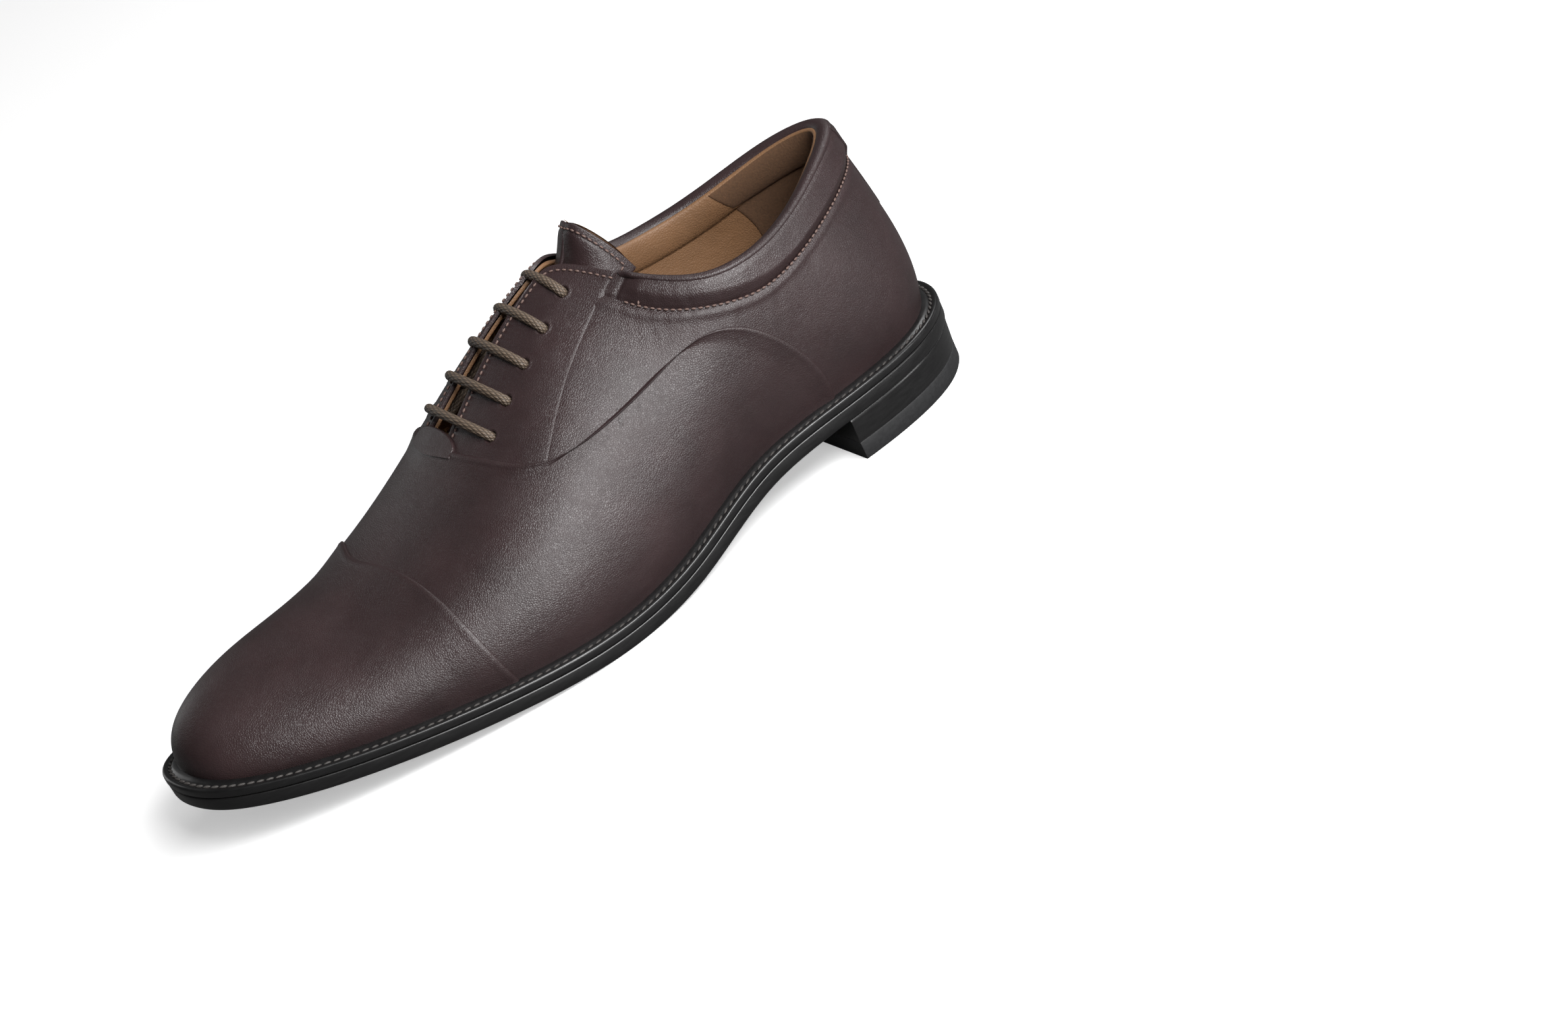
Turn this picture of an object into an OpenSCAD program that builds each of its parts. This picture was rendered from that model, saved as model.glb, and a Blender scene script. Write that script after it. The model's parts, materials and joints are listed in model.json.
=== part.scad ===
// Cap-toe oxford shoe, left foot, standing on its heel and tread.
// +X points to the toe, +Y to the outer side and +Z up.
// The origin is on the ground under the middle of the sole's outline.

/* [Size] */
// Length of the sole from heel to toe
sole_length = 302; // [285:1:320]
// Width of the sole across the ball
ball_width = 108; // [102:1:114]
// Rise of the whole upper above the footbed, as a share of the last's own
instep_share = 1; // [0.95:0.01:1.05]

/* [Leather] */
// Thickness of the upper leather
leather_t = 1.3; // [1:0.1:1.5]
// Thickness of the puff, counter and collar foam between the layers
middle_t = 1; // [0.8:0.1:1.1]
// Thickness of the lining
lining_t = 0.9; // [0.7:0.1:1]
// Clearance between neighbouring layers
ply_gap = 0.4; // [0.3:0.05:0.5]

/* [Bottom] */
// How far the welt stands out beyond the upper
welt_margin = 5.6; // [4.8:0.1:6.4]
// Thickness of the welt
welt_t = 3; // [2.6:0.1:3.2]
// Thickness of the outsole
outsole_t = 5; // [4:0.1:5.4]
// Thickness of the rubber top piece under the heel
top_piece_t = 6.5; // [5:0.5:7]

/* [Lacing] */
// Thickness of the round waxed lace
lace_d = 2.8; // [2.4:0.1:3]

/* [Hidden] */

long = sole_length / 302;
wide = ball_width / 108;

// Depths of the three layers of the upper under its outer face
lining_top = leather_t + middle_t + 2 * ply_gap;
lining_bottom = lining_top + lining_t;
middle_top = leather_t + ply_gap;
middle_bottom = middle_top + middle_t;

// The last's surface is ruled by eleven stations, from the toe tip (0) to the centre back (10).
// Each station has a point on the feather edge, where upper meets welt, and a crest point above it.
feather_x = [296, 290, 264, 232, 199, 164, 129, 92, 54, 14, -3];
feather_y = [0, 21, 34, 43, 48.5, 51, 43.5, 34, 37, 29.5, 0];
feather_z = [28, 25.5, 19.5, 14.5, 10.5, 7.5, 9.5, 22.5, 24, 24, 24];
// How much nearer the middle the inner side's feather edge lies
waist_in = [0, 1, 2, 3, 3.5, 4, 6.5, 8, 5, 0, 0];
// The crest runs up the ridge of the vamp and instep, then round the ankle above the topline
crest_back = [-0.5, 1, 7, 16, 24.5, 31, 34, 16, 0, -5, -2];
crest_high = [0, 17.5, 30.5, 30.5, 52, 87, 98, 81, 66.5, 66.5, 69];
crest_side = [0, 0, 0, 0, 0, 0, 3, 29, 31.5, 20.5, 0];
ridge_in = [-0.75, 1.5, 6.5, 11.5, 15.5, 13, 7, 0, 0, 0, 0];
// How the wall leaves the feather edge: outwards and upwards
wall_out = [0, 0, 4.5, 7, 11, 13.5, 12, 10, 8.5, 7.5, 5];
wall_up = [0, 8, 10, 22.5, 30, 32.5, 29.5, 27, 22.5, 22, 24.5];
wall_rake = 0.065;
// How the wall arrives at the crest: from behind, from the side and from below
crown_x = [0, 0, 0, 0, 0, 0, 1, 1.5, 1.5, -0.5, -3];
crown_y = [0, 11.5, 20, 24, 28, 30.5, 25.5, 12.5, 8.5, 4, 0];
crown_z = [0, 0, 0, 0, 0, -4, -20, -22.5, -18.5, -22, -22];

stations = [for (i = [0:10]) [
    feather_x[i] * long, feather_y[i] * wide, feather_z[i], waist_in[i] * wide,
    crest_back[i] * long, crest_side[i] * wide, ridge_in[i] * wide, crest_high[i] * instep_share,
    wall_out[i] * wide, wall_up[i] * instep_share,
    crown_x[i] * long, crown_y[i] * wide, crown_z[i] * instep_share
]];
// Which values change sign when the curve runs on past the toe tip and past the centre back
toe_signs = [1, -1, 1, -1, 1, -1, 1, -1, 1, -1, 1, -1, -1];
back_signs = [1, -1, 1, -1, 1, -1, 1, 1, 1, 1, 1, -1, 1];
function signed(row, signs) = [for (k = [0:len(row) - 1]) row[k] * signs[k]];
rails = concat([signed(stations[1], toe_signs)], stations, [signed(stations[9], back_signs)]);

// Uniform cubic B-spline over a list of controls; t runs from 0 to 1
function spline(c, t) =
    let(
        n = len(c) - 3,
        s = min(max(t, 0), 1) * n,
        i = min(floor(s), n - 1),
        f = s - i,
        g = 1 - f
    )
    (g * g * g * c[i] + (3 * f * f * f - 6 * f * f + 4) * c[i + 1]
        + (3 * g * g * g - 6 * g * g + 4) * c[i + 2] + f * f * f * c[i + 3]) / 6;
// The same through a list of points, with its ends held
function held(c) = concat([2 * c[0] - c[1]], c, [2 * c[len(c) - 1] - c[len(c) - 2]]);

function ease(t) = let(c = min(max(t, 0), 1)) c * c * (3 - 2 * c);
// The forepart swings to the inner side
toe_swing = 5.4;
function swung(p) = [p.x, p.y - toe_swing * wide * ease((p.x / long - 114) / 186), p.z];

// Outward direction of the feather edge, level with the ground
function feather_out(u, side) =
    let(
        a = spline(rails, min(u + 0.002, 1)),
        b = spline(rails, max(u - 0.002, 0)),
        d = a - b,
        dy = d[1] - (side < 0 ? d[3] : 0)
    )
    [dy, -side * d[0], 0] / norm([dy, d[0]]);

// Feather edge moved out by a margin and up by a rise, still unswung
function rim(u, side, margin, rise) =
    let(q = spline(rails, u), y = q[1] - (side < 0 ? q[3] : 0))
    [q[0], side * y, q[2] + rise] + margin * feather_out(u, side);

// Point of the upper's outer face: u from toe tip to centre back, w = 1 at the outer side's
// feather edge, 0 on the ridge or above the topline, -1 at the inner side's feather edge
function face(u, w) =
    let(
        side = w < 0 ? -1 : 1,
        v = 1 - abs(w),
        q = spline(rails, u),
        foot = [q[0], side * (q[1] - (side < 0 ? q[3] : 0)), q[2]],
        wall = foot + q[8] * feather_out(u, side) + [-wall_rake * q[9], 0, q[9]],
        crest = [q[0] - q[4], side * q[5] - q[6], q[2] + q[7]],
        crown = crest + [q[10], side * q[11], q[12]],
        g = 1 - v
    )
    centred(swung(g * g * g * foot + 3 * v * g * g * wall + 3 * v * v * g * crown + v * v * v * crest));

// Outward normal of that face
function facing_out(u, w) =
    let(
        a = max(u, 0.012),
        e = 0.004,
        du = face(min(a + e, 1), w) - face(a - e, w),
        dw = face(a, min(w + e, 1)) - face(a, max(w - e, -1)),
        n = cross(dw, du)
    )
    n / norm(n);

// Outline of the welt: the outer side from toe to back, then the inner side to the toe again
sole_steps = 48;
welt_ring = concat(
    [for (i = [0:sole_steps]) swung(rim(i / sole_steps, 1, welt_margin, 0))],
    [for (i = [sole_steps - 1:-1:1]) swung(rim(i / sole_steps, -1, welt_margin, 0))]
);
middle_x = (max([for (p = welt_ring) p.x]) + min([for (p = welt_ring) p.x])) / 2;
middle_y = (max([for (p = welt_ring) p.y]) + min([for (p = welt_ring) p.y])) / 2;
// The lowest point of the tread touches the ground
seat_gap = 0.2;
sole_t = welt_t + outsole_t + 2 * seat_gap;
ground_z = min([for (i = [0:100]) spline(rails, i / 100)[2]]) - sole_t;
function centred(p) = p - [middle_x, middle_y, ground_z];

// ---- closed solids from grids of points ----
function total(list) = list * [for (x = list) 1];
// Solid between two grids of points. A row whose points all meet is named in tips;
// a ring's last row joins its first.
module between(top, under, tips = [false, false], ring = false) {
    n = len(top);
    m = len(top[0]);
    function id(k, i, j) =
        let(row = i % n, col = (tips[0] && row == 0) || (tips[1] && row == n - 1) ? 0 : j)
        (k * n + row) * m + col;
    rows = ring ? n - 1 : n - 2;
    points = concat([for (r = top) each r], [for (r = under) each r]);
    quads = concat(
        [for (i = [0:rows], j = [0:m - 2]) [id(0, i, j), id(0, i + 1, j), id(0, i + 1, j + 1), id(0, i, j + 1)]],
        [for (i = [0:rows], j = [0:m - 2]) [id(1, i, j), id(1, i, j + 1), id(1, i + 1, j + 1), id(1, i + 1, j)]],
        [for (i = [0:rows]) [id(0, i, 0), id(1, i, 0), id(1, i + 1, 0), id(0, i + 1, 0)]],
        [for (i = [0:rows]) [id(0, i, m - 1), id(0, i + 1, m - 1), id(1, i + 1, m - 1), id(1, i, m - 1)]],
        ring ? [] : [for (j = [0:m - 2]) [id(0, 0, j), id(0, 0, j + 1), id(1, 0, j + 1), id(1, 0, j)]],
        ring ? [] : [for (j = [0:m - 2])
            [id(0, n - 1, j), id(1, n - 1, j), id(1, n - 1, j + 1), id(0, n - 1, j + 1)]]
    );
    halves = [for (q = quads) each [[q[0], q[1], q[2]], [q[0], q[2], q[3]]]];
    faces = [for (t = halves) if (t[0] != t[1] && t[1] != t[2] && t[2] != t[0]) t];
    volume = total([for (t = faces) points[t[0]] * cross(points[t[1]], points[t[2]])]);
    polyhedron(points, volume < 0 ? faces : [for (t = faces) [t[0], t[2], t[1]]]);
}

// A panel follows the upper's face between two depths; at(s, t) gives its [u, w]
module panel(at, n, m, from, to, tips = [false, false]) {
    spots = [for (i = [0:n]) [for (j = [0:m]) at(i / n, j / m)]];
    faces = [for (r = spots) [for (p = r) [face(p[0], p[1]), facing_out(p[0], p[1])]]];
    between(
        [for (r = faces) [for (p = r) p[0] - from * p[1]]],
        [for (r = faces) [for (p = r) p[0] - to * p[1]]],
        tips
    );
}

// A layer of the sole between two rises, from u = first to last
module slab(first, last, margin_top, margin_bottom, rise_top, rise_bottom, steps) {
    us = [for (i = [0:steps]) first + (last - first) * i / steps];
    function row(u, margin, rise) =
        let(a = rim(u, 1, margin, rise), b = rim(u, -1, margin, rise))
        [for (k = [0:2]) centred(swung(a + (b - a) * k / 2))];
    between(
        [for (u = us) row(u, margin_top, rise_top)],
        [for (u = us) row(u, margin_bottom, rise_bottom)],
        [first == 0, last == 1]
    );
}

// ---- seams, as controls in [u, w] on the outer side; the inner side has the same with -w ----
// Cap seam: its u at each w
function cap_seam(w) = 0.301 + 0.101 * sqrt(w * w + 0.015);
cap_gap = 0.003;
vamp_edge = [
    [0.4095, 0], [0.411, 0.05], [0.4145, 0.1], [0.4185, 0.16], [0.425, 0.23], [0.45, 0.39], [0.486, 0.492],
    [0.53, 0.518], [0.59, 0.502],
    [0.635, 0.47], [0.675, 0.445], [0.712, 0.46], [0.742, 0.52], [0.767, 0.64], [0.782, 0.78],
    [0.789, 0.91], [0.79, 1]
];
// Controls of that edge that lie under the facing, and under the quarter
facing_foot = [[0.4185, 0.1], [0.4285, 0.21], [0.452, 0.37], [0.486, 0.48]];
quarter_foot = [
    [0.489, 0.486], [0.533, 0.51], [0.593, 0.494], [0.638, 0.462], [0.678, 0.437], [0.715, 0.452],
    [0.745, 0.512], [0.77, 0.632], [0.785, 0.772], [0.792, 0.9], [0.795, 0.995], [0.795, 0.995],
    [0.84, 0.995], [0.89, 0.995], [0.945, 0.995], [0.998, 0.995]
];
facing_seam = [[0.486, 0.48], [0.503, 0.42], [0.53, 0.335], [0.56, 0.275], [0.588, 0.218], [0.612, 0.171]];
gap_edge = [[0.4185, 0.1], [0.438, 0.086], [0.46, 0.071], [0.5, 0.05], [0.525, 0.036], [0.546, 0.024]];
facing_head = [[0.546, 0.024], [0.556, 0.016], [0.567, 0.034], [0.586, 0.1], [0.599, 0.139], [0.612, 0.171]];
collar_seam = [
    [0.594, 0.222], [0.61, 0.275], [0.638, 0.325], [0.675, 0.36], [0.715, 0.378], [0.755, 0.382],
    [0.79, 0.355], [0.83, 0.3], [0.87, 0.25], [0.91, 0.215], [0.955, 0.2], [0.998, 0.21]
];
topline = [
    [0.614, 0.175], [0.632, 0.207], [0.652, 0.233], [0.69, 0.262], [0.73, 0.253], [0.78, 0.203], [0.83, 0.132],
    [0.87, 0.07], [0.91, 0.028], [0.95, 0.014], [0.975, 0.012], [1, 0.012]
];
eyelets = [[0.451, 0.277], [0.475, 0.247], [0.501, 0.216], [0.529, 0.182], [0.559, 0.135]];

function moved(list, du, dw) = [for (p = list) p + [du, dw]];
function straight(a, b) = [a, a + (b - a) / 3, a + 2 * (b - a) / 3, b];
function along(list, t) = spline(held(list), t);
// Spot in a four-sided patch: foot and head run along s, left and right bend its two ends
function bow(side, t) =
    len(side) == 0 ? [0, 0] : along(side, t) - side[0] * (1 - t) - side[len(side) - 1] * t;
function patch(foot, head, left, right, s, t) =
    along(foot, s) * (1 - t) + along(head, s) * t + bow(left, t) * (1 - s) + bow(right, t) * s;
function on_side(p, side) = [p[0], side * p[1]];
// Spot on the strip that crosses the centre back: s from -1 on the outer side to 1 on the inner
function across_back(s, reach, w) = [1 - abs(s) * reach, (s < 0 ? 1 : -1) * w];

leather = [0.2, 0.13, 0.12];
tan_leather = [0.6, 0.4, 0.25];
suede = [0.5, 0.33, 0.2];
board = [0.62, 0.5, 0.36];
sole_black = [0.08, 0.08, 0.08];
felt = [0.45, 0.42, 0.38];
wax_cord = [0.4, 0.34, 0.27];
steel = [0.6, 0.62, 0.64];

// ---- outer leather ----
module toe_cap() {
    color(leather)
        panel(function (s, t) [s * (cap_seam(1 - 2 * t) - cap_gap), 0.995 * (2 * t - 1)], 15, 24, 0, leather_t,
            [true, false]);
}

// The vamp's edge crosses the ridge smoothly
throat_across = concat([on_side(vamp_edge[1], -1)], vamp_edge, [2 * vamp_edge[16] - vamp_edge[15]]);
// The vamp runs from the cap seam to its swan-necked edge, down to the welt on both sides
module vamp() {
    function spot(s, t) =
        let(
            w = 2 * t - 1,
            near = [cap_seam(w), 0.995 * w],
            far = spline(throat_across, abs(w)),
            end = [far[0], min(0.995, far[1]) * (w < 0 ? -1 : 1)]
        )
        near * (1 - s) + end * s;
    color(leather) panel(function (s, t) spot(s, t), 14, 42, 0, leather_t);
}

module eyelet_holes(side) {
    for (e = eyelets) {
        spot = face(e[0], side * e[1]);
        n = facing_out(e[0], side * e[1]);
        tilt = acos(n.z);
        turn = atan2(n.y, n.x);
        translate(spot - 6 * n)
            rotate([0, tilt, turn])
                cylinder(h = 9, r = eyelet_r, $fn = 24);
    }
}

module facing(side) {
    color(leather)
        difference() {
            panel(function (s, t) on_side(patch(facing_foot, facing_head, gap_edge, facing_seam, s, t), side),
                10, 14, 0, leather_t);
            eyelet_holes(side);
        }
}
module facing_lateral() { facing(1); }
module facing_medial() { facing(-1); }

module quarter(side) {
    head = moved(collar_seam, 0, 0.006);
    color(leather)
        panel(function (s, t) on_side(patch(quarter_foot, head, facing_seam, [], s, t), side), 26, 10, 0, leather_t);
}
module quarter_lateral() { quarter(1); }
module quarter_medial() { quarter(-1); }

binding_drop = 0.022;
module collar(side) {
    head = moved([for (p = topline) [min(p[0], 0.998), p[1]]], 0.001, binding_drop);
    color(leather)
        panel(function (s, t) on_side(patch(collar_seam, head, [], [], s, t), side), 24, 4, 0, leather_t);
}
module collar_lateral() { collar(1); }
module collar_medial() { collar(-1); }

// Rolled edge that closes leather and lining together all round the mouth
module collar_binding() {
    function spot(s, t) =
        let(p = along(topline, 1 - abs(2 * s - 1)), side = s < 0.5 ? 1 : -1)
        [p[0], side * (p[1] + (1 - t) * (binding_drop - 0.004))];
    color(leather) panel(function (s, t) spot(s, t), 56, 1, 0, lining_bottom);
}

// Strip that covers the centre back seam, wide at the mouth and narrow below
strip_t = 1;
module back_strip() {
    color(leather)
        panel(
            function (s, t)
                let(w = 0.02 + 0.5 * t, reach = 0.012 + 0.02 * pow(1 - t, 2))
                across_back(2 * s - 1, reach, w),
            6, 10, -strip_t - 0.1, -0.1
        );
}

// Small round-ended tab under the lowest lace, where the facings meet the vamp
tab_w = 0.17;
module lacing_tab() {
    function spot(s, t) =
        let(
            w = tab_w * (2 * t - 1),
            low = 0.4085 + 0.016 * pow(abs(w) / 0.22, 1.7),
            high = low + 0.001 + 0.0125 * sqrt(max(0, 1 - pow(w / (tab_w * 1.01), 2)))
        )
        [low * (1 - s) + high * s, w];
    color(leather) panel(function (s, t) spot(s, t), 5, 12, -1.1, -0.1);
}

// ---- stiffeners and padding between the layers ----
module toe_puff() {
    color(board)
        panel(function (s, t) [s * (cap_seam(2 * t - 1) - 0.02), 0.97 * (2 * t - 1)], 14, 20,
            middle_top, middle_bottom, [true, false]);
}
module heel_counter() {
    color(board)
        panel(function (s, t) across_back(2 * s - 1, 0.2, 0.97 - 0.55 * t), 24, 6, middle_top, middle_bottom);
}
module collar_foam(side) {
    head = moved([for (p = topline) [min(p[0], 0.99), p[1]]], 0.01, binding_drop + 0.015);
    foot = moved([for (p = collar_seam) [min(p[0], 0.988), p[1]]], 0.01, -0.02);
    color(felt)
        panel(function (s, t) on_side(patch(foot, head, [], [], s, t), side), 24, 3, middle_top, middle_bottom);
}
module collar_foam_lateral() { collar_foam(1); }
module collar_foam_medial() { collar_foam(-1); }

// ---- linings ----
lining_w = 0.985;
module vamp_lining() {
    color(tan_leather)
        panel(function (s, t) [0.396 * s, lining_w * (2 * t - 1)], 15, 22, lining_top, lining_bottom,
            [true, false]);
}

lining_head = concat(
    [[0.402, 0.1], [0.437, 0.094], [0.46, 0.08], [0.5, 0.058], [0.525, 0.045], [0.546, 0.034]],
    [[0.558, 0.034], [0.57, 0.058], [0.59, 0.13]],
    moved([for (i = [0:10]) topline[i]], 0, binding_drop),
    [[0.998, 0.012 + binding_drop]]
);
module quarter_lining(side) {
    foot = straight([0.402, lining_w], [0.998, lining_w]);
    color(tan_leather)
        difference() {
            panel(function (s, t) on_side(patch(foot, lining_head, [], [], s, t), side), 32, 10,
                lining_top, lining_bottom);
            eyelet_holes(side);
        }
}
module quarter_lining_lateral() { quarter_lining(1); }
module quarter_lining_medial() { quarter_lining(-1); }

grip_t = 0.8;
module heel_grip() {
    color(suede)
        panel(function (s, t) across_back(2 * s - 1, 0.11 + 0.03 * t, 0.05 + 0.82 * t), 18, 8,
            lining_bottom + ply_gap, lining_bottom + ply_gap + grip_t);
}

// ---- lacing ----
eyelet_r = lace_d / 2 + 0.35;
lace_depth = lining_bottom + lace_d / 2 + 0.25;
lace_high = lace_d / 2 + 0.35;
function depth_at(p, depth) = face(p[0], p[1]) - depth * facing_out(p[0], p[1]);
// One pass through an eyelet of row k on a side, from inside to outside
function pass(k, side) =
    let(e = on_side(eyelets[k], side), c = depth_at(e, 0), n = facing_out(e[0], e[1]))
    [c - (lace_depth - 0.3) * n, c - 0.4 * lace_depth * n, c + 0.2 * lace_high * n];
// One straight bar over the gap, from a side to the other
function bar(k, side) =
    let(
        a = pass(k, side), b = pass(k, -side), m = len(a) - 1,
        up = facing_out(eyelets[k][0], 0),
        over = [for (t = [0.14, 0.35, 0.65, 0.86]) a[m] + (b[m] - a[m]) * t
            + up * (lace_high * 0.75 + bar_bow[k] * 4 * t * (1 - t))]
    )
    concat(a, over, [for (i = [m:-1:0]) b[i]]);
// Rise of each bar over the ridge between its two eyelets
bar_bow = [5.5, 5, 4.6, 4, 3];
// A run under the lining from row i to row k, set off to one side of the eyelets
function run(i, k, side, off) =
    [for (t = [0.2, 0.5, 0.8])
        let(p = eyelets[i] + (eyelets[k] - eyelets[i]) * t)
        depth_at(on_side(p + [0, off], side), lace_depth + 0.25)];
function reversed(list) = [for (i = [len(list) - 1:-1:0]) list[i]];
function tail(k, side, off) =
    [for (t = [1:4]) depth_at(on_side(eyelets[k] + [-0.012 * t, off * min(t, 2) / 2 + 0.012 * t], side),
        lace_depth + 0.4)];
route = concat(
    reversed(tail(3, 1, -0.035)),
    bar(3, 1), run(3, 1, -1, -0.036), bar(1, -1), run(1, 0, 1, 0),
    bar(0, 1), run(0, 2, -1, 0.036), bar(2, -1), run(2, 4, 1, 0.036), bar(4, 1),
    tail(4, -1, 0.05)
);

lace_sides = 8;
lace_rings = 124;
module lace() {
    controls = held(route);
    n = lace_rings;
    path = [for (i = [0:n]) spline(controls, i / n)];
    tangents = [for (i = [0:n]) let(d = path[min(i + 1, n)] - path[max(i - 1, 0)]) d / norm(d)];
    // the ring's first spoke is carried along the path without twist
    function carried(i, spoke) =
        i > n ? [] :
        let(t = tangents[i], s = spoke - (spoke * t) * t, unit = s / norm(s))
        concat([unit], carried(i + 1, unit));
    spokes = carried(0, [0.3, 0.2, 1]);
    rings = [for (i = [0:n]) [for (k = [0:lace_sides - 1])
        let(a = 360 * k / lace_sides, x = spokes[i], y = cross(tangents[i], x))
        path[i] + lace_d / 2 * (cos(a) * x + sin(a) * y)]];
    sides = [for (i = [0:n - 1], k = [0:lace_sides - 1])
        let(a = i * lace_sides + k, b = i * lace_sides + (k + 1) % lace_sides)
        each [[a, b, b + lace_sides], [a, b + lace_sides, a + lace_sides]]];
    ends = [
        [for (k = [lace_sides - 1:-1:0]) k],
        [for (k = [0:lace_sides - 1]) n * lace_sides + k]
    ];
    color(wax_cord)
        polyhedron([for (r = rings) each r], [for (f = concat(sides, ends)) reversed(f)]);
}

// The tongue follows the instep under the lace up to its bend, then curls up by itself
// to a rounded top edge, whose sides fall to the mouth
tongue_root = 0.434;
tongue_bend = 0.55;
tongue_share = 0.55;
tongue_depth = lace_depth + lace_d / 2 + 0.9;
// Half of the top edge, from its middle to the side, as steps from the ridge over the bend
tongue_edge = [[-14.3, 0, 11.3], [-14.7, 4, 11], [-16.6, 7.6, 8.2], [-20.6, 10.2, 2.2], [-24.1, 12, -4.8], [-26.6, 12.6, -12.3]];
tongue_shift = 2.4;
// How strongly the free end leaves the bend, and arrives at its edge
tongue_leave = 36;
tongue_arrive = 22;
function unit(v) = v / norm(v);
function tongue_spot(s, t, depth) =
    let(
        k = max(0, (s - tongue_share) / (1 - tongue_share)),
        part = min(s / tongue_share, 1),
        w = t * (0.2 + 0.06 * part),
        u = tongue_root + (tongue_bend - tongue_root) * part,
        base = depth_at([u, w], depth),
        course = unit(depth_at([tongue_bend, w], depth) - depth_at([tongue_bend - 0.02, w], depth)),
        e = along(tongue_edge, abs(t)),
        side = t < 0 ? -1 : 1,
        a = t * t,
        look = unit([0.85 * (1 - a), side * a, 0.45 * (1 - a) + 0.1]),
        top = depth_at([tongue_bend, 0], 0) + [e.x * long, side * e.y * wide + tongue_shift, e.z * instep_share]
            - (depth - tongue_depth) * look,
        turn = unit([-0.6 - 0.3 * a, 0, 0.8 - 0.45 * a]),
        g = 1 - k
    )
    k == 0 ? base :
        g * g * (1 + 2 * k) * base + k * g * g * tongue_leave * course
            + k * k * (3 - 2 * k) * top - k * k * g * tongue_arrive * turn;
module tongue_sheet(from, to) {
    function sheet(depth) = [for (i = [0:14]) [for (j = [0:12]) tongue_spot(i / 14, j / 6 - 1, depth)]];
    between(sheet(from), sheet(to));
}
tongue_t = 1;
module tongue() { color(leather) tongue_sheet(tongue_depth, tongue_depth + tongue_t); }
module tongue_lining() {
    color(tan_leather)
        tongue_sheet(tongue_depth + tongue_t + 0.1, tongue_depth + tongue_t + 0.1 + lining_t);
}

// ---- footbed ----
footbed_in = lining_bottom + 1.1;
board_t = 2.2;
sock_t = 1.2;
module insole_board() {
    color(board) slab(0, 1, -footbed_in, -footbed_in, 0.1 + board_t, 0.1, 40);
}
module sock_liner() {
    rise = 0.2 + board_t;
    color(tan_leather) slab(0, 1, -footbed_in, -footbed_in, rise + sock_t, rise, 40);
}
welt_in = 6;
// The fillers lie inside the welt; the shank lies in a dip of the rear one
filler_in = welt_in + 0.5;
shank_first = 0.56;
shank_last = 0.92;
module cork_filler() {
    color([0.55, 0.42, 0.3])
        slab(0.03, shank_first - 0.01, -filler_in, -filler_in, -0.5, -welt_t - seat_gap, 24);
}
module seat_filler() {
    color(board)
        slab(shank_first, 1, -filler_in, -filler_in, -2, -welt_t - seat_gap, 24);
}
// Spring steel strip along the waist, on the filler and under the board
shank_w = 15;
module shank() {
    steps = 12;
    function row(u, rise) =
        let(a = rim(u, 1, 0, rise), b = rim(u, -1, 0, rise), c = (a + b) / 2)
        [for (k = [-1, 0, 1]) centred(swung([c.x, c.y + k * shank_w / 2, c.z]))];
    us = [for (i = [0:steps]) shank_first + 0.01 + (shank_last - shank_first) * i / steps];
    color(steel) between([for (u = us) row(u, -0.2)], [for (u = us) row(u, -1.2)]);
}

// ---- sole and heel ----
module welt() {
    spots = concat(
        [for (i = [0:sole_steps]) [i / sole_steps, 1]],
        [for (i = [sole_steps - 1:-1:1]) [i / sole_steps, -1]]
    );
    function row(p, rise) =
        [for (m = [-welt_in, 0, welt_margin]) centred(swung(rim(p[0], p[1], m, rise)))];
    color(sole_black)
        between([for (p = spots) row(p, -seat_gap)], [for (p = spots) row(p, -seat_gap - welt_t)], ring = true);
}
module outsole() {
    top = -2 * seat_gap - welt_t;
    color(sole_black)
        slab(0, 1, welt_margin - 0.2, welt_margin - 0.8, top, top - outsole_t, 48);
}
// The heel's straight front edge
breast_u = 0.79;
heel_steps = 20;
heel_us = [for (i = [0:heel_steps]) breast_u + (1 - breast_u) * i / heel_steps];
function on_level(p, z) = [p.x, p.y, z];
function heel_row(u, margin) =
    let(a = centred(swung(rim(u, 1, margin, 0))), b = centred(swung(rim(u, -1, margin, 0))))
    [for (k = [0:2]) a + (b - a) * k / 2];
module heel_stack() {
    under_sole = -sole_t - 0.05;
    color(sole_black)
        between(
            [for (u = heel_us) [for (p = heel_row(u, welt_margin - 1)) p + [0, 0, under_sole]]],
            [for (u = heel_us) [for (p = heel_row(u, welt_margin - 2)) on_level(p, top_piece_t + 0.05)]],
            [false, true]
        );
}
nail_r = 1.1;
module nail_places() {
    for (p = [[0.84, 0.62], [0.84, -0.62], [0.91, 0.6], [0.91, -0.6], [0.985, 0.93], [0.985, -0.93]]) {
        r = heel_row(p[0], welt_margin - 2);
        spot = (r[0] + r[2]) / 2 + (p[1] > 0 ? 1 : -1) * (r[0] - r[2]) / 2 * abs(p[1]);
        translate([spot.x + (p[0] > 0.95 ? 9 : 0), spot.y, 0]) children();
    }
}
module top_piece() {
    outline = concat(
        [for (u = heel_us) let(p = heel_row(u, welt_margin - 2)[0]) [p.x, p.y]],
        [for (i = [heel_steps - 1:-1:0]) let(p = heel_row(heel_us[i], welt_margin - 2)[2]) [p.x, p.y]]
    );
    color(sole_black)
        difference() {
            linear_extrude(top_piece_t) polygon(outline);
            nail_places() translate([0, 0, -1]) cylinder(h = top_piece_t + 2, r = nail_r + 0.05, $fn = 24);
        }
}
module heel_nails() {
    color(steel) nail_places() translate([0, 0, 0.3]) cylinder(h = top_piece_t - 0.3, r = nail_r, $fn = 24);
}

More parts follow.
